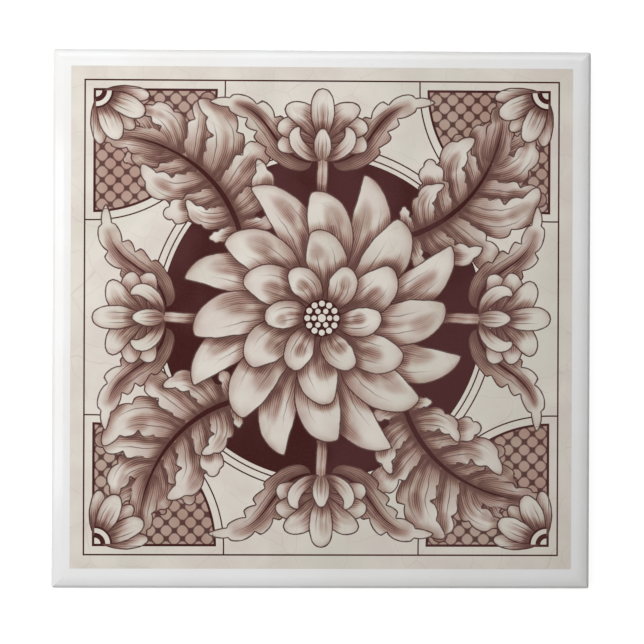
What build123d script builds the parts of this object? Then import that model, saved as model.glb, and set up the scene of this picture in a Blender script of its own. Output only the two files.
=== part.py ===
from build123d import *
from math import asin, cos, degrees, radians
import os

# Transferware tile: one dust-pressed, glazed ceramic wall tile, lying on its back with the printed face up.
# All sizes are in millimetres. The origin is the centre of the back, and +Y is the top of the print.

# The face is a standard six-inch square
TILE_SIDE = 152.4
TILE_THICKNESS = 7.9
CORNER_RADIUS = 1.1

# The cushion edge: a wide crown radius runs down from the flat face into a tight radius at the side
RIM_WIDTH = 3.4
CROWN_RADIUS = 12.5
EDGE_RADIUS = 1.2

# The chamfer round the foot, which the press tool leaves so that the back doesn't chip
FOOT_CHAMFER = 0.7

# The waffle of shallow pockets that keys the back into the adhesive
POCKET_SIDE = 11.6
POCKET_DEPTH = 0.9
POCKET_CORNER = 1.8
POCKET_DRAFT = 25.0
KEY_RIB = 2.0
LEAST_LAND = 6.0

half_side = TILE_SIDE / 2
flat_reach = half_side - RIM_WIDTH
pocket_pitch = POCKET_SIDE + KEY_RIB

# The two radii of the rim meet where both have this slope
crown_turn = degrees(asin((RIM_WIDTH - EDGE_RADIUS) / (CROWN_RADIUS - EDGE_RADIUS)))
rim_drop = CROWN_RADIUS - (CROWN_RADIUS - EDGE_RADIUS) * cos(radians(crown_turn))

# An even number of pockets puts a crossing of two ribs on the centre of the back
pockets_per_half = int((TILE_SIDE - 2 * LEAST_LAND + KEY_RIB) // pocket_pitch) // 2
pockets_per_side = 2 * pockets_per_half

with BuildPart() as tile:
    # The same cushion section, run both ways, gives a rim that is mitred at the four corners
    for plane, mode in ((Plane.XZ, Mode.ADD), (Plane.YZ, Mode.INTERSECT)):
        with BuildSketch(plane):
            with BuildLine():
                face = Line((0, TILE_THICKNESS), (flat_reach, TILE_THICKNESS))
                crown = JernArc(face @ 1, face % 1, CROWN_RADIUS, -crown_turn)
                edge = JernArc(crown @ 1, crown % 1, EDGE_RADIUS, crown_turn - 90)
                side = Line(edge @ 1, (half_side, FOOT_CHAMFER))
                chamfered = Line(side @ 1, (half_side - FOOT_CHAMFER, 0))
                foot = Line(chamfered @ 1, (0, 0))
                Line(foot @ 1, face @ 0)
            make_face()
            mirror(about=Plane.YZ)
        extrude(amount=half_side, both=True, mode=mode)

    # The corners are rounded in plan
    with BuildSketch():
        RectangleRounded(TILE_SIDE, TILE_SIDE, CORNER_RADIUS)
    extrude(amount=TILE_THICKNESS, mode=Mode.INTERSECT)

    # The keying pockets narrow towards their floors, so that the tile leaves the press tool
    with BuildSketch() as waffle:
        with GridLocations(pocket_pitch, pocket_pitch, pockets_per_side, pockets_per_side):
            Rectangle(POCKET_SIDE, POCKET_SIDE)
        chamfer(waffle.vertices(), POCKET_CORNER)
    extrude(amount=POCKET_DEPTH, taper=POCKET_DRAFT, mode=Mode.SUBTRACT)

tile.part.label = "tile"

os.makedirs("parts", exist_ok=True)
export_step(tile.part, "parts/tile.step")
print(f"tile {tile.part.volume / 1000:.1f} cm3, rim drop {rim_drop:.2f} mm")
print(f"back {pockets_per_side} x {pockets_per_side} pockets")
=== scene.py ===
import math
import random

import bpy
import numpy as np
from mathutils import Matrix, Vector, geometry


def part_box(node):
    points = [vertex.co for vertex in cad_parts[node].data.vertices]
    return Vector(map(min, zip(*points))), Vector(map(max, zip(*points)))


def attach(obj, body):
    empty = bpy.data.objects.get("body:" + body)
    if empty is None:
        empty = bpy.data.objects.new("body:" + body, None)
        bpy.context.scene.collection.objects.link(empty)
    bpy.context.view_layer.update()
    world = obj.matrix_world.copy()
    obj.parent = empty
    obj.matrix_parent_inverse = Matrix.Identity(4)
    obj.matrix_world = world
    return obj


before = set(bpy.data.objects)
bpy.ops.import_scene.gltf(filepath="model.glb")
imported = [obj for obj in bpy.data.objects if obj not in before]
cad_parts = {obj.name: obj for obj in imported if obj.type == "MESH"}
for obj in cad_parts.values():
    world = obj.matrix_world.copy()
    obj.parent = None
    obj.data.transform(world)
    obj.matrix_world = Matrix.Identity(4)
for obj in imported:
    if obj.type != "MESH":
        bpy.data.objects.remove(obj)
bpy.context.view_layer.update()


# The tile: one pressed body of white earthenware. Its face, cushion rim and upper sides are
# covered by a poured glaze, which stops in a wavy line above the bare biscuit of the foot.

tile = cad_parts["tile"]
tile_low, tile_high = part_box("tile")


class Wire:
    """An output of a shader node. Arithmetic on it adds the Math nodes that work it out."""

    def __init__(self, tree, output=None):
        self.tree, self.output = tree, output

    def node(self, kind, settings=None, sockets=None, out=0):
        """Adds one node: its settings come first, then the values and links of its sockets."""
        made = self.tree.nodes.new("ShaderNode" + kind)
        for name, value in (settings or {}).items():
            setattr(made, name, value)
        for name, value in (sockets or {}).items():
            if isinstance(value, Wire):
                self.tree.links.new(value.output, made.inputs[name])
            else:
                made.inputs[name].default_value = value
        return Wire(self.tree, made.outputs[out])

    def math(self, operation, *values):
        return self.node("Math", {"operation": operation}, dict(enumerate(values)))

    def __add__(self, other):
        return self.math("ADD", self, other)

    __radd__ = __add__

    def __sub__(self, other):
        return self.math("SUBTRACT", self, other)

    def __rsub__(self, other):
        return self.math("SUBTRACT", other, self)

    def __mul__(self, other):
        return self.math("MULTIPLY", self, other)

    __rmul__ = __mul__

    def __truediv__(self, other):
        return self.math("DIVIDE", self, other)

    def __pow__(self, other):
        return self.math("POWER", self, other)

    def __abs__(self):
        return self.math("ABSOLUTE", self)

    def fract(self):
        return self.math("FRACT", self)

    def least(self, other):
        return self.math("MINIMUM", self, other)

    def most(self, other):
        return self.math("MAXIMUM", self, other)

    def ease(self, start, end):
        """0 at start, 1 at end and a soft step between, whichever of the two is larger."""
        return self.node(
            "MapRange",
            {"interpolation_type": "SMOOTHSTEP"},
            {"Value": self, "From Min": start, "From Max": end},
        )

    def channel(self, axis):
        return self.node("SeparateXYZ", None, {0: self}, "XYZ".index(axis))

    def stretched(self, x, y, z):
        return self.node("VectorMath", {"operation": "MULTIPLY"}, {0: self, 1: (x, y, z)})

    def moved(self, other):
        return self.node("VectorMath", {"operation": "ADD"}, {0: self, 1: other})

    def noise(self, scale, detail=2, rough=0.5, out=0):
        sockets = {"Vector": self, "Scale": scale, "Detail": detail, "Roughness": rough}
        return self.node("TexNoise", None, sockets, out)


def linear(*srgb):
    """A colour given in screen values from 0 to 255, in the linear values of the shader."""
    return tuple((c / 255 / 12.92) if c < 11 else ((c / 255 + 0.055) / 1.055) ** 2.4 for c in srgb)


def mixed(low, high, amount):
    """Two colours, each a wire or a plain colour, blended by a wire."""
    as_socket = [c if isinstance(c, Wire) else (*c, 1) for c in (low, high)]
    sockets = {0: amount, 6: as_socket[0], 7: as_socket[1]}
    return amount.node("Mix", {"data_type": "RGBA"}, sockets, 2)


def new_material(name, **fixed):
    """An empty material with one glossy shader, and the point on the surface in millimetres."""
    material = bpy.data.materials.new(name)
    material.use_nodes = True
    tree = material.node_tree
    shader = tree.nodes["Principled BSDF"]
    for socket, value in fixed.items():
        shader.inputs[socket.replace("_", " ")].default_value = value
    place = Wire(tree).node("TexCoord", out=3).stretched(1000, 1000, 1000)
    return material, shader, place


def feed(shader, **wires):
    """Links wires to sockets of a shader, each named with _ for a space."""
    for socket, wire in wires.items():
        wire.tree.links.new(wire.output, shader.inputs[socket.replace("_", " ")])


def raised(height):
    """The normal of a surface that is raised by a height in millimetres."""
    return height.node("Bump", None, {"Strength": 0.6, "Distance": 0.001, "Height": height})


def glaze_ripple(place):
    """The height of the poured glaze, in millimetres: it never dries perfectly level."""
    swell = place.noise(0.05, 1)
    orange_peel = place.noise(0.32, 1)
    return swell * 0.10 + orange_peel * 0.012


GLAZE_WHITE = linear(236, 236, 237)
GLAZE_CLOUD = linear(232, 231, 229)
BEAD_GREY = linear(226, 226, 226)
PINHOLE_BROWN = linear(168, 158, 148)
BISCUIT = linear(226, 215, 198)
DARK_BISCUIT = linear(207, 194, 175)
CLAY_GRAIN = linear(178, 158, 134)
GLAZE_IOR = 1.5
GLAZE_ROUGH = 0.09
BISCUIT_ROUGH = 0.75

# All in millimetres
GLAZE_LINE = 2.4        # how far above the foot the glaze stops
LINE_WANDER = 3.2       # how far that line runs up and down
LINE_BLUR = 0.12
BEAD_HEIGHT = 1.1       # the thicker bead that the glaze leaves along the line
BEAD_RELIEF = 0.12
GRAIN_RELIEF = 0.06
SIDE_REACH = tile_high.x * 1000
THIN_RIM = 3.6          # the poured glaze draws back from the edge over this width
THIN_DEPTH = 0.55

white_glaze, shader, place = new_material("white_glaze", IOR=GLAZE_IOR)
runs = place.stretched(1, 1, 0.25).noise(0.11, 3)
height = place.channel("Z") + (runs - 0.5) * LINE_WANDER
bare = height.ease(GLAZE_LINE + LINE_BLUR, GLAZE_LINE - LINE_BLUR)
bead = height.ease(GLAZE_LINE + BEAD_HEIGHT, GLAZE_LINE) * (1 - bare)

cloud = place.noise(0.03, 3)
glaze_colour = mixed(GLAZE_WHITE, GLAZE_CLOUD, cloud.ease(0.35, 0.7))
glaze_colour = mixed(glaze_colour, BEAD_GREY, bead)
pinhole = place.node("TexVoronoi", None, {"Vector": place, "Scale": 0.09, "Randomness": 1.0})
speck = pinhole.ease(0.020, 0.012) * 0.35
glaze_colour = mixed(glaze_colour, PINHOLE_BROWN, speck)

clay_cloud = place.noise(0.07, 4)
clay_grain = place.noise(2.6, 3, 0.7)
clay_colour = mixed(BISCUIT, DARK_BISCUIT, clay_cloud.ease(0.35, 0.75) * 0.8)
clay_colour = mixed(clay_colour, CLAY_GRAIN, clay_grain.ease(0.60, 0.78) * 0.55)

surface_colour = mixed(glaze_colour, clay_colour, bare)
roughness = bare * (BISCUIT_ROUGH - GLAZE_ROUGH) + GLAZE_ROUGH
from_side = SIDE_REACH - abs(place.channel("X")).most(abs(place.channel("Y")))
thinned = (1 - from_side / THIN_RIM).most(0.0)
relief = glaze_ripple(place) * (1 - bare) + clay_grain * bare * GRAIN_RELIEF + bead * BEAD_RELIEF
relief = relief - thinned * thinned * THIN_DEPTH     # steeper the nearer it is to the side
feed(shader, Base_Color=surface_colour, Roughness=roughness, Normal=raised(relief))

tile.data.materials.clear()
tile.data.materials.append(white_glaze)


# The transfer print: an engraved plate's impression, laid on the biscuit as a square of tissue
# and sealed under the clear glaze. Its shapes are drawn in painting order, the last on top.

PRINT_HALF = 70.9       # half the side of the printed square, in millimetres
PRINT_RAISED = 0.35     # the print sits this much nearer to the top edge
FILM = 0.025            # the thickness of the printed layer
SUNK = 0.01             # how far its hidden back lies below the face
LINE_PITCH = 0.62       # from one engraved line to the next, where a leaf is widest
PLAIN_STEP = 0.8        # from one point to the next along the edge of a leaf
TOOTHED_STEP = 0.45     # the same where the edge has teeth
ROW_GAP = 1.3           # between the rows of points inside it
UNDER_REACH = 3.0       # how far a shape shades the leaf that it lies on
FAR_OFF = 9.0           # further than any shade reaches

shapes = []             # every printed shape, from the ground up
BARE, SOLID, DIAPER, LEAF = (0, 0, 0), (1, 0, 0), (0, 1, 0), (0, 0, 1)


def curve(start, lead, pull, end, count=40):
    """Points along a curve from start to end, which bends towards the two points between them."""
    t = np.linspace(0, 1, count)[:, None]
    start, lead, pull, end = (np.array(p, float) for p in (start, lead, pull, end))
    return (1 - t) ** 3 * start + 3 * (1 - t) ** 2 * t * lead + 3 * (1 - t) * t**2 * pull + t**3 * end


def turned(points, angle):
    """Points turned about the middle of the print."""
    c, s = math.cos(angle), math.sin(angle)
    return np.asarray(points, float) @ np.array([[c, s], [-s, c]])


def swelling(t, rise, fall):
    """A width along a leaf: nothing at both ends and 1 at its widest."""
    peak = rise / (rise + fall)
    return t**rise * (1 - t) ** fall / (peak**rise * (1 - peak) ** fall)


def along_spine(shape, points):
    """Where points lie on a leaf: across it, with -1 and 1 at its edges, and along it from 0 to 1."""
    spine, reach = shape["spine"], shape["reach"]
    step = np.gradient(spine, axis=0)
    size = np.linalg.norm(step, axis=1)
    gap = points[:, None, :] - spine[None, :, :]
    near = np.argmin((gap**2).sum(2), axis=1)
    off = gap[np.arange(len(points)), near]
    run = (off * step[near]).sum(1) / size[near] ** 2
    side = (off[:, 1] * step[near, 0] - off[:, 0] * step[near, 1]) / size[near]
    spot = np.clip(near + run, 0, len(spine) - 1)
    width = np.interp(spot, np.arange(len(spine)), reach)
    run = np.concatenate([[0], np.cumsum(np.linalg.norm(np.diff(spine, axis=0), axis=1))])
    share = np.interp(spot, np.arange(len(spine)), run / run[-1])
    return np.clip(side / np.maximum(width, 0.25), -1.3, 1.3), share


def leaf(spine, half_width, rise, fall, teeth=0, bite=0.0, tone=0.9, side=1, fade=0.0, mask=LEAF):
    """One petal, leaf lobe or stalk: a strip round its spine, with teeth cut along its edges."""
    length = np.linalg.norm(np.diff(spine, axis=0), axis=1).sum()
    count = max(12, int(length / (TOOTHED_STEP if teeth else PLAIN_STEP)))
    t = np.linspace(0, 1, count)
    t = 0.35 * t + 0.65 * (1 - np.cos(math.pi * t)) / 2      # closer together towards both ends
    spots = t * (len(spine) - 1)
    spine = np.stack([np.interp(spots, np.arange(len(spine)), spine[:, i]) for i in (0, 1)], 1)
    reach = half_width * swelling(t, rise, fall)
    step = np.gradient(spine, axis=0)
    normal = np.stack([-step[:, 1], step[:, 0]], 1) / np.linalg.norm(step, axis=1)[:, None]
    saw = (t * (teeth + 0.6)) % 1.0
    deep = bite * np.clip((t - 0.18) * 4, 0, 1)
    edge = reach * (1 - deep + deep * saw**0.8 * (1 - saw) ** 0.22 * 1.9) if teeth else reach
    sides, inside = [], []
    for way in (-1, 1):         # the hand of the engraver wavers a little
        slow, quick = random.uniform(0, 6), random.uniform(0, 6)
        waver = 1 + 0.03 * np.sin(t * 8 + slow) + 0.015 * np.sin(t * 23 + quick)
        drawn = np.maximum(edge * waver, 0.02)[:, None]
        sides.append(spine + way * normal * drawn)
        inside.append((spine + way * normal * np.maximum(drawn - 0.5, 0))[1:-1])
    rows = int(half_width / ROW_GAP) + 1
    for row in range(-rows, rows + 1):
        share = row / (rows + 1)
        inside.append((spine + normal * reach[:, None] * share)[2:-2:2])
    shapes.append({
        "outline": np.concatenate([sides[0], sides[1][::-1]]), "inside": np.concatenate(inside),
        "spine": spine, "reach": reach, "mask": mask, "tone": tone, "side": side, "fade": fade,
        "lines": max(3, round(2 * half_width / LINE_PITCH)), "seed": random.uniform(0, 50),
    })


def ground(outline, mask):
    """A flat area of the print: bare paper, solid ink or the diaper ground."""
    shapes.append({
        "outline": np.asarray(outline, float), "inside": np.zeros((0, 2)), "spine": None,
        "mask": mask, "tone": 0, "side": 1, "fade": 0, "lines": 1, "seed": 0,
    })


def ring(radius, count=120, start=0.0, sweep=math.tau, centre=(0, 0)):
    """Points round a circle, or along an arc of one."""
    angle = start + np.linspace(0, sweep, count, endpoint=sweep < math.tau)
    return np.stack([np.cos(angle), np.sin(angle)], 1) * radius + centre


random.seed(7)
square = np.array([(-1, -1), (1, -1), (1, 1), (-1, 1)], float)

# Bare paper, with a thin ruled frame just inside its edge
FRAME_REACH = 67.2
FRAME_LINE = 0.45
INNER_REACH = FRAME_REACH - FRAME_LINE
ground(square * PRINT_HALF, BARE)
ground(square * FRAME_REACH, SOLID)
ground(square * INNER_REACH, BARE)

# A quarter disc of diaper ground fills each corner of the frame, inside a thin second line
CORNER_RADIUS = 35.0
CORNER_REACH = FRAME_REACH - 2.6
DISC_LINE = 0.7         # the solid line round the disc
SECOND_GAP = 1.9        # from the disc to the thin line outside it
THIN_LINE = 0.4


def corner_fan(radius, limit, quarter, mask):
    """A quarter disc about a corner of the frame, carried on to the limit in x and y."""
    arc = ring(radius, 40, math.pi, math.pi / 2, (CORNER_REACH, CORNER_REACH))
    start, end = (arc[0, 0], limit), (limit, arc[-1, 1])
    arc = np.minimum(arc, limit)
    ground(turned(np.concatenate([[(limit, limit), start], arc, [end]]), quarter * math.pi / 2), mask)


for quarter in range(4):
    corner_fan(CORNER_RADIUS + SECOND_GAP + THIN_LINE, INNER_REACH, quarter, SOLID)
    corner_fan(CORNER_RADIUS + SECOND_GAP, INNER_REACH, quarter, BARE)
    corner_fan(CORNER_RADIUS, CORNER_REACH, quarter, SOLID)
    corner_fan(CORNER_RADIUS - DISC_LINE, CORNER_REACH - DISC_LINE, quarter, DIAPER)

# The dark roundel in the middle, inside two thin rings
ROUNDEL = 45.5
for ring_gap in (3.2, 1.1):
    ground(ring(ROUNDEL + ring_gap + THIN_LINE), SOLID)
    ground(ring(ROUNDEL + ring_gap), BARE)
ground(ring(ROUNDEL), SOLID)


def reached(foot, far, angle):
    """The point that lies so far from a foot in the direction of an angle."""
    return foot + far * np.array([math.cos(angle), math.sin(angle)])


LOBED = {"teeth": 3, "bite": 0.34, "tone": 0.85}     # how each lobe of an acanthus is cut


def acanthus(angle):
    """A large leaf on a diagonal: lobes along a bent midrib, the ones at its foot on top."""
    rib = curve((31, 1), (44, -8), (62, -8), (78, 5), 80)
    step = np.gradient(rib, axis=0)
    leaf(turned(rib, angle), 6.5, 0.35, 0.6, tone=0.9, fade=0.3)
    lengths = (9, 14.5, 18.5, 20.5, 19, 15.5, 11)
    for lobe in reversed(range(len(lengths))):
        at = int((0.08 + 0.118 * lobe) * 79)
        ahead = math.atan2(step[at, 1], step[at, 0])
        for side in (1, -1):
            lean = math.radians(80 - 7 * lobe + random.uniform(-4, 4)) * side
            size = lengths[lobe] * (0.95 if side > 0 else 1.12) + random.uniform(-0.8, 0.8)
            foot = rib[at]
            lead = reached(foot, size * 0.38, ahead + lean + 0.30 * side)
            pull = reached(foot, size * 0.78, ahead + lean + 0.12 * side)
            hook = -0.48 if lobe % 2 else 0.10
            spine = curve(foot, lead, pull, reached(foot, size, ahead + lean + hook * side))
            leaf(turned(spine, angle), size * 0.245, 0.42, 0.58, side=side, fade=0.35, **LOBED)
    end = curve(rib[58], rib[68], rib[76], rib[79] + (2.5, 4.5))
    leaf(turned(end, angle), 4.2, 0.4, 0.7, fade=0.3, **LOBED)
    leaf(turned(rib[:76], angle), 0.75, 0.12, 0.8, mask=SOLID)


def spray(angle):
    """A palmette on a side of the square, between two leaves that curl away along the frame."""
    for side in (1, -1):
        long = curve((44, 3 * side), (46, 17 * side), (62, 12 * side), (61, 32 * side), 60)
        leaf(turned(long, angle), 5.0, 0.40, 0.62, teeth=5, bite=0.38, tone=0.85, side=side)
        leaf(turned(long[:50], angle), 0.35, 0.12, 0.8, mask=SOLID)
    leaf(turned(curve((34, 0), (39, 0.6), (43, -0.6), (51, 0)), angle), 1.7, 0.15, 0.2, tone=0.8)
    for fan in (80, -80, 54, -54, 28, -28, 0):
        lean = math.radians(fan)
        length = 16.0 - abs(fan) * 0.045
        foot = np.array([49.0, 0])
        curl = math.copysign(0.34, fan) if fan else 0
        lead = reached(foot, length * 0.35, lean - curl * 0.6)
        pull = reached(foot, length * 0.75, lean - curl * 0.1)
        spine = curve(foot, lead, pull, reached(foot, length, lean + curl))
        leaf(turned(spine, angle), 3.5, 0.75, 0.5, tone=0.85, side=1 if fan >= 0 else -1)
    for side in (1, -1):
        cup = curve((45, 0), (46, 7 * side), (52, 10 * side), (54, 6 * side))
        leaf(turned(cup, angle), 2.2, 0.5, 0.6, tone=0.9, side=-side)
    leaf(turned(curve((44.5, 0), (47, 0), (50, 0), (54, 0)), angle), 2.7, 0.5, 0.6, tone=0.9)


def rosette_petals(count, inner, outer, half_width, phase, twist, tone, fall):
    """A ring of petals that all lean the same way."""
    middle = np.zeros(2)
    for petal in range(count):
        lean = math.tau * (petal + phase) / count + random.uniform(-0.03, 0.03)
        length = (outer - inner) * random.uniform(0.96, 1.03)
        foot = reached(middle, inner, lean)
        lead = reached(middle, inner + length * 0.35, lean - twist)
        pull = reached(middle, inner + length * 0.8, lean - twist * 0.35)
        spine = curve(foot, lead, pull, reached(middle, inner + length, lean + twist * 0.5))
        leaf(spine, half_width, 0.75, fall, tone=tone, side=-1)


for quarter in range(4):
    acanthus(math.pi / 4 + quarter * math.pi / 2)
for quarter in range(4):
    spray(quarter * math.pi / 2)

# A quarter rosette in each corner, about an eye of rings
EYE = CORNER_REACH - DISC_LINE
for quarter in range(4):
    turn = quarter * math.pi / 2
    for fan, half_width in ((5, 2.4), (85, 2.4), (45, 2.6), (25, 3.2), (65, 3.2)):
        way = -np.array([math.cos(math.radians(fan)), math.sin(math.radians(fan))])
        foot = np.array([EYE, EYE]) + way * 2
        petal = curve(foot, foot + way * 4, foot + way * 9, foot + way * 13.5)
        leaf(turned(petal, turn), half_width, 0.7, 0.5)
    for radius, mask in ((5.0, SOLID), (4.4, BARE), (3.1, SOLID), (1.7, BARE)):
        arc = ring(radius, 14, math.pi, math.pi / 2, (EYE, EYE))
        ground(turned(np.concatenate([[(EYE, EYE)], arc]), turn), mask)

# The large rosette: four rings of petals, and a seed head of round beads on a dark disc
rosette_petals(8, 9, 41.5, half_width=5.8, phase=0.5, twist=0.26, tone=0.95, fall=0.78)
rosette_petals(8, 8, 35.5, half_width=6.4, phase=0.0, twist=0.24, tone=0.90, fall=0.66)
rosette_petals(6, 5, 24.5, half_width=5.8, phase=0.5, twist=0.28, tone=0.95, fall=0.60)
rosette_petals(6, 3, 16.0, half_width=4.3, phase=0.0, twist=0.30, tone=0.95, fall=0.56)
ground(ring(5.3, 40), SOLID)
for radius, count, size in ((0.0, 1, 1.15), (2.2, 6, 0.75), (4.1, 12, 0.85)):
    for spot in ring(radius, count):
        ground(ring(size, 14, centre=spot), BARE)


def covers(outline, points):
    """Which points lie inside an outline."""
    inside = np.zeros(len(points), bool)
    for a, b in zip(outline, np.roll(outline, -1, 0)):
        crosses = (a[1] > points[:, 1]) != (b[1] > points[:, 1])
        if crosses.any():
            meet = a[0] + (points[:, 1] - a[1]) / (b[1] - a[1] + 1e-12) * (b[0] - a[0])
            inside ^= crosses & (points[:, 0] < meet)
    return inside


def distance_to(outline, points):
    """How far points are from an outline, in millimetres."""
    nearest = np.full(len(points), 1e9)
    for a, b in zip(outline, np.roll(outline, -1, 0)):
        way = b - a
        far = np.clip(((points - a) @ way) / max(way @ way, 1e-9), 0, 1)
        nearest = np.minimum(nearest, np.linalg.norm(points - a - far[:, None] * way, axis=1))
    return nearest


# Only the points that still show are kept inside a shape
for shape in shapes:
    shape["low"], shape["high"] = shape["outline"].min(0), shape["outline"].max(0)
    shown = np.abs(shape["inside"]).max(1, initial=0) < PRINT_HALF - 0.5
    shape["inside"] = shape["inside"][shown]
for index, shape in enumerate(shapes):
    points = shape["inside"]
    for above in shapes[index + 1:]:
        near = ((points > above["low"]) & (points < above["high"])).all(1)
        if near.any():
            hidden = np.zeros(len(points), bool)
            hidden[near] = covers(above["outline"], points[near])
            points = points[~hidden]
    shape["inside"] = points

corners, loops = [], []
for shape in shapes:
    loops.append(list(range(len(corners), len(corners) + len(shape["outline"]))))
    corners.extend(Vector(p) for p in shape["outline"])
for shape in shapes:
    corners.extend(Vector(p) for p in shape["inside"])

# One flat mesh of all outlines, in which each face knows the shapes that cover it
INSIDE_ONLY = 1         # what to make: only the faces that lie inside an outline
WELD = 1e-3             # corners nearer than this become one
sheet = geometry.delaunay_2d_cdt(corners, [], loops, INSIDE_ONLY, WELD, True)
points, faces, covered_by = sheet[0], sheet[2], sheet[5]
points = np.array([tuple(p) for p in points])
keep = [(f, max(c)) for f, c in zip(faces, covered_by) if c]
faces = np.array([f for f, _ in keep])
top_shape = np.array([c for _, c in keep])

# Each corner of a face carries where it lies on its own leaf, and how far the edges are
strand = np.zeros((len(faces), 3, 3), np.float32)     # across, along, number of lines
rim = np.full((len(faces), 3, 3), FAR_OFF, np.float32)    # to its edge, to a shape above, fade
marks = np.zeros((len(faces), 3, 3), np.float32)      # tone, seed, shaded side
layer = np.zeros((len(faces), 3, 3), np.float32)      # solid ink, diaper, leaf
for index, shape in enumerate(shapes):
    own = top_shape == index
    if not own.any():
        continue
    layer[own] = shape["mask"]
    if shape["spine"] is None:
        continue
    used, back = np.unique(faces[own], return_inverse=True)
    back = back.reshape(-1, 3)
    spots = points[used]
    across, along = along_spine(shape, spots)
    strand[own] = np.stack([across, along, np.full(len(used), shape["lines"])], 1)[back]
    above = np.full(len(used), FAR_OFF)
    for other in shapes[index + 1:]:
        low, high = other["low"] - UNDER_REACH, other["high"] + UNDER_REACH
        if ((low < shape["high"]) & (high > shape["low"])).all():
            near = ((spots > low) & (spots < high)).all(1)
            if near.any():
                above[near] = np.minimum(above[near], distance_to(other["outline"], spots[near]))
    edge = distance_to(shape["outline"], spots)
    rim[own] = np.stack([edge, above, np.full(len(used), shape["fade"])], 1)[back]
    marks[own] = (shape["tone"], shape["seed"], shape["side"])

# The printed face, with four thin sides and a back that close it into a film
face_height = tile_high.z * 1000
edge_corners = square * PRINT_HALF
vertices = [(x, y + PRINT_RAISED, face_height + FILM) for x, y in points]
vertices += [(x, y + PRINT_RAISED, face_height - SUNK) for x, y in edge_corners]
rim_loop = [int(np.argmin(np.abs(points - c).sum(1))) for c in edge_corners]
foot_loop = [len(points) + i for i in range(4)]
all_faces = faces.tolist()
for i, j in ((0, 1), (1, 2), (2, 3), (3, 0)):
    all_faces.append([rim_loop[i], foot_loop[i], foot_loop[j], rim_loop[j]])
all_faces.append(foot_loop[::-1])

mesh = bpy.data.meshes.new("transfer_print")
mesh.from_pydata([tuple(c / 1000 for c in v) for v in vertices], [], all_faces)
for name, values in (("strand", strand), ("rim", rim), ("marks", marks), ("layer", layer)):
    attribute = mesh.attributes.new(name, "FLOAT_VECTOR", "CORNER")
    filled = np.zeros((len(mesh.loops), 3), np.float32)
    filled[:len(faces) * 3] = values.reshape(-1, 3)
    attribute.data.foreach_set("vector", filled.ravel())
transfer_print = bpy.data.objects.new("transfer_print", mesh)
bpy.context.scene.collection.objects.link(transfer_print)

# The print's colours: a cream ground with pink and green casts, maroon ink with plum patches,
# and the browns of its lighter washes
CREAM = linear(221, 215, 205)
PINK_CAST = linear(213, 203, 195)
GREEN_CAST = linear(206, 203, 189)
CRACK_BROWN = linear(176, 160, 142)
INK = linear(61, 16, 14)
PLUM_INK = linear(80, 40, 42)
WASH = linear(165, 126, 113)
TAN_WASH = linear(160, 130, 110)
DEEP_WASH = linear(118, 64, 57)

engraving, shader, place = new_material("engraving", IOR=GLAZE_IOR, Roughness=GLAZE_ROUGH)


def stored(name):
    """The three numbers that the mesh carries under one name."""
    attribute = place.node("Attribute", {"attribute_name": name}, out=1)
    return [attribute.channel(axis) for axis in "XYZ"]


across, along, lines = stored("strand")
to_edge, to_above, fade = stored("rim")
tone, seed, shaded = stored("marks")
solid, diaper, drawn = stored("layer")

# The modelling of a leaf: dark at its foot and tip and under what lies on it, with one side in
# shade, a fold down its middle and, where it is wide, a hollow that lies elsewhere on each leaf
wander = place.noise(0.16, 2)
foot_dark = along.ease(0.78, 0.0)
flank = (across * shaded).ease(0.15, 1.1)
fold = abs(across + (wander - 0.5) * 0.5).ease(0.30, 0.0) * along.ease(0.85, 0.35)
hollow_across = (across - ((seed * 7.3).fract() - 0.5)) / 0.55
hollow_along = (along - 0.52 - (seed * 3.1).fract() * 0.22) / 0.19
hollow = (hollow_across * hollow_across + hollow_along * hollow_along).ease(1.0, 0.0) * lines.ease(8, 13)
tip = along.ease(0.80, 1.0)
under = to_above.ease(UNDER_REACH, 0.0)
depth = foot_dark * 0.75 + flank * 0.42 + fold * 0.42 + tip * 0.30 + under * 0.55 + hollow * 0.45
depth = depth * tone * 1.12 + (wander - 0.5) * 0.45 - 0.09

# The engraver's lines run along the leaf, and thicken where the tone is deep. An outline goes
# round the leaf, and a pleat runs down each half of a wide one.
wobble = place.noise(0.45, 1) * 0.7
phase = (across * lines * 0.5 + wobble + seed).fract()
from_line = abs(phase - 0.5) * 2
cut = (depth * 1.05).least(0.98)
hatch = (from_line - cut + 0.34).ease(0.28, -0.28)
outline_width = place.noise(0.5, 1) * 0.30
outline = (to_edge - outline_width).ease(0.36, 0.10) * (along - fade).ease(-0.02, 0.12)
pleat = (abs(abs(across + (wander - 0.5) * 0.3) - 0.42) * lines * 0.36).ease(0.26, 0.06)
pleat = pleat * along.ease(0.82, 0.45) * lines.ease(6, 9) * 0.8
hatch = hatch * (depth * 0.42 + 0.34).least(1.0)
line_work = hatch.most(outline).most(pleat) * drawn

# The diaper ground: rounded lozenges with dark ink between them
LOZENGE = 4.6           # from one lozenge to the next, along a side of the tile, in millimetres
ROUNDING = 2.4          # 1 draws sharp squares, 2 circles, and more than 2 rounded lozenges
lozenge_x = ((place.channel("X") + place.channel("Y")) / LOZENGE).fract() - 0.5
lozenge_y = ((place.channel("X") - place.channel("Y")) / LOZENGE).fract() - 0.5
cell = (abs(lozenge_x) ** ROUNDING + abs(lozenge_y) ** ROUNDING) ** (1 / ROUNDING)
gap = (cell + (place.noise(0.8, 2) - 0.5) * 0.08).ease(0.38, 0.50)
diaper_ink = gap * 0.88

grain = place.noise(1.5, 3, 0.7)
wear = place.noise(0.09, 3)
worn = grain.ease(0.35, 0.75)
ink = (line_work * (0.95 - worn * 0.08)).most(solid * (1 - worn * 0.01)).most(diaper_ink * diaper)
wash = (depth.ease(-0.16, 0.74) * 0.88 * drawn).most(diaper * (0.80 + (wear - 0.5) * 0.5))
deep_wash = depth.ease(0.50, 1.20) * 0.36 * drawn
core = depth.ease(0.72, 1.20) * 0.62 * drawn      # where the lines run together

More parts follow.
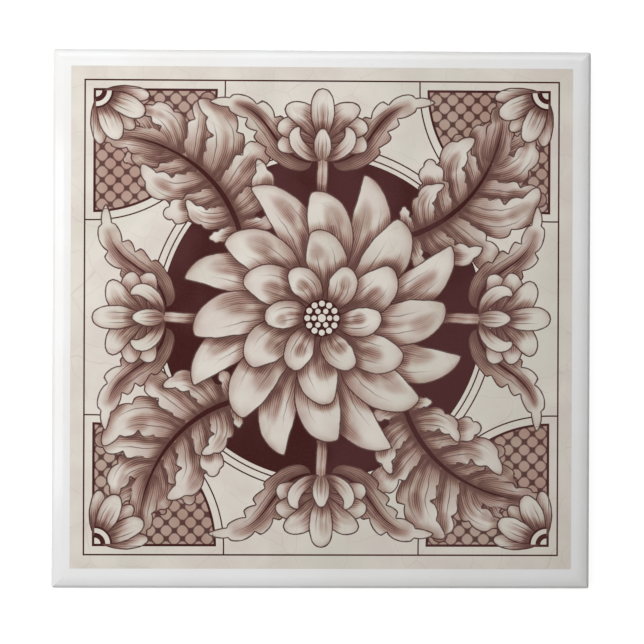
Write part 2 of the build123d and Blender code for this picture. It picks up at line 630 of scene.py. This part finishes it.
# Fine crazing in the glaze shows only on the pale ground
crack_place = place.moved(place.noise(0.12, 2, out=1).stretched(5, 5, 0))
crack = place.node("TexVoronoi", {"feature": "DISTANCE_TO_EDGE"}, {"Vector": crack_place, "Scale": 0.085})
hair = place.node("TexVoronoi", {"feature": "DISTANCE_TO_EDGE"}, {"Vector": crack_place, "Scale": 0.19})
crazing = crack.ease(0.012, 0.002) * 0.5 + hair.ease(0.014, 0.003) * 0.25 * wear.ease(0.4, 0.6)

paper = mixed(CREAM, PINK_CAST, wear.ease(0.3, 0.75))
paper = mixed(paper, GREEN_CAST, place.noise(0.05, 2).ease(0.45, 0.75) * 0.6)
paper = mixed(paper, CRACK_BROWN, crazing * 0.42)
wash_colour = mixed(WASH, TAN_WASH, place.noise(0.14, 1).ease(0.4, 0.65) * 0.6)
printed = mixed(paper, wash_colour, wash)
printed = mixed(printed, DEEP_WASH, deep_wash)
uneven_ink = mixed(INK, PLUM_INK, place.noise(0.035, 3).ease(0.40, 0.64) * 0.85)
printed = mixed(printed, uneven_ink, ink.most(core))
feed(shader, Base_Color=printed, Normal=raised(glaze_ripple(place)))
mesh.materials.append(engraving)

# The print's own map: its face fills it, and what is hidden has a strip
chart = mesh.uv_layers.new(name="OFBake")
spots = np.array([vertices[loop.vertex_index][:2] for loop in mesh.loops]) - (0, PRINT_RAISED)
chart_spots = spots / (2 * PRINT_HALF) + 0.5
chart_spots[:, 1] = chart_spots[:, 1] * 0.98 + 0.02
chart_spots[len(faces) * 3:] *= (1, 0.01)
chart.data.foreach_set("uv", chart_spots.astype(np.float32).ravel())

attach(transfer_print, "root")


# The white table that the tile lies on. The camera sees it as plain white paper where it is
# lit, and it keeps the soft shadow that the tile throws.

TABLE_SIDE = 6          # in metres, as is the next
TABLE_BELOW = 0.0002    # how far it lies below the tile's foot
PAPER_GREY = (0.5, 0.5, 0.5, 1)
PAPER_GLOW = (0.86, 0.86, 0.86)

bpy.ops.mesh.primitive_plane_add(size=TABLE_SIDE, location=(0, 0, tile_low.z - TABLE_BELOW))
table = bpy.context.object
table.name = "table"
white_paper, shader, place = new_material(
    "white_paper",
    Base_Color=PAPER_GREY,
    Roughness=0.9,
    Specular_IOR_Level=0.0,
    Emission_Strength=1.0,
)
camera_ray = place.node("LightPath", out="Is Camera Ray")
glossy_ray = place.node("LightPath", out="Is Glossy Ray")
clear_ray = place.node("LightPath", out="Is Transmission Ray")
seen = camera_ray.most(glossy_ray).most(clear_ray)
glow = mixed((0, 0, 0), PAPER_GLOW, seen)
feed(shader, Emission_Color=glow)
table.data.materials.append(white_paper)


# The light: a soft lamp to the upper left, which the glaze doesn't mirror, and two dim white
# cards beside it, which the left and top rims do mirror. The room adds a little from all round.

def lamp(name, place, width, length, power, mirrored=True):
    """A rectangular lamp that faces the tile: its place and sizes in metres, its power in watts."""
    light = bpy.data.lights.new(name, "AREA")
    light.shape, light.size, light.size_y, light.energy = "RECTANGLE", width, length, power
    holder = bpy.data.objects.new(name, light)
    holder.location = place
    holder.rotation_euler = (-Vector(place)).to_track_quat("-Z", "Y").to_euler()
    holder.visible_glossy = mirrored
    bpy.context.scene.collection.objects.link(holder)


lamp("window", (-0.146, 0.09, 0.361), 0.16, 0.16, 1.02, mirrored=False)
lamp("left_card", (-0.31, 0.0, 0.40), 0.20, 0.40, 0.43)
lamp("top_card", (0.0, 0.33, 0.40), 0.40, 0.12, 0.26)
room = bpy.data.worlds.new("room")
room.use_nodes = True
room_light = room.node_tree.nodes["Background"]
room_light.inputs["Color"].default_value = (1, 1, 1, 1)
room_light.inputs["Strength"].default_value = 0.21
bpy.context.scene.world = room


# The camera looks down on the tile from half a metre above the table. It stands a little left of
# the tile's middle, and is turned by a quarter of a degree.

CAMERA_PLACE = Vector((-9.8, 0.35, 513.4)) / 1000
CAMERA_AIM = Vector((0.05, -0.75, 7.9)) / 1000
CAMERA_ROLL = math.radians(-0.24)

camera_data = bpy.data.cameras.new("camera")
camera_data.lens = 100
camera_data.sensor_width = 36
camera_data.clip_start = 0.01
camera = bpy.data.objects.new("camera", camera_data)
sight = (CAMERA_AIM - CAMERA_PLACE).normalized()
across_view = sight.cross(Vector((math.sin(CAMERA_ROLL), math.cos(CAMERA_ROLL), 0))).normalized()
up_view = across_view.cross(sight)
turn = Matrix((across_view, up_view, -sight)).transposed()
camera.matrix_world = Matrix.Translation(CAMERA_PLACE) @ turn.to_4x4()
bpy.context.scene.collection.objects.link(camera)
bpy.context.scene.camera = camera
bpy.context.scene.view_settings.view_transform = "Standard"
